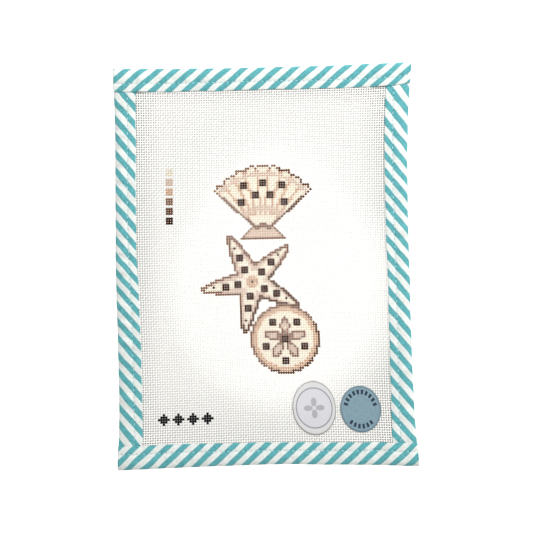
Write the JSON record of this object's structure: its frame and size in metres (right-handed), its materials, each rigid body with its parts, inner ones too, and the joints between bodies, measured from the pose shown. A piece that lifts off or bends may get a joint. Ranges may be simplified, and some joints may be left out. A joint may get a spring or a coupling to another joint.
{
  "type": "needlepoint canvas",
  "caption": "Painted needlepoint canvas of open white mesh, its edges bound in folded bias tape with diagonal stripes, lying flat, with round stickers on its front.",
  "frame": {"origin": "middle of the footprint, on the surface that the canvas lies on", "axes": "+X to the right of the front, +Y to its top along the longer side, +Z out of the front face"},
  "size_m": [0.177, 0.2366, 0.0038],
  "materials": {
    "canvas": "stiff sized cotton mono mesh, 18 threads to the inch, with a painted design",
    "striped_tape": "matt quilting cotton, teal and white diagonal stripes of equal width",
    "white_sticker": "smooth coated paper",
    "blue_sticker": "smooth coated paper with a faint brushed swirl"
  },
  "bodies": {
    "root": {"canvas": "canvas", "top_binding": "striped_tape", "bottom_binding": "striped_tape", "left_binding": "striped_tape", "right_binding": "striped_tape", "white_sticker": "white_sticker", "blue_sticker": "blue_sticker"}
  },
  "joints": []
}
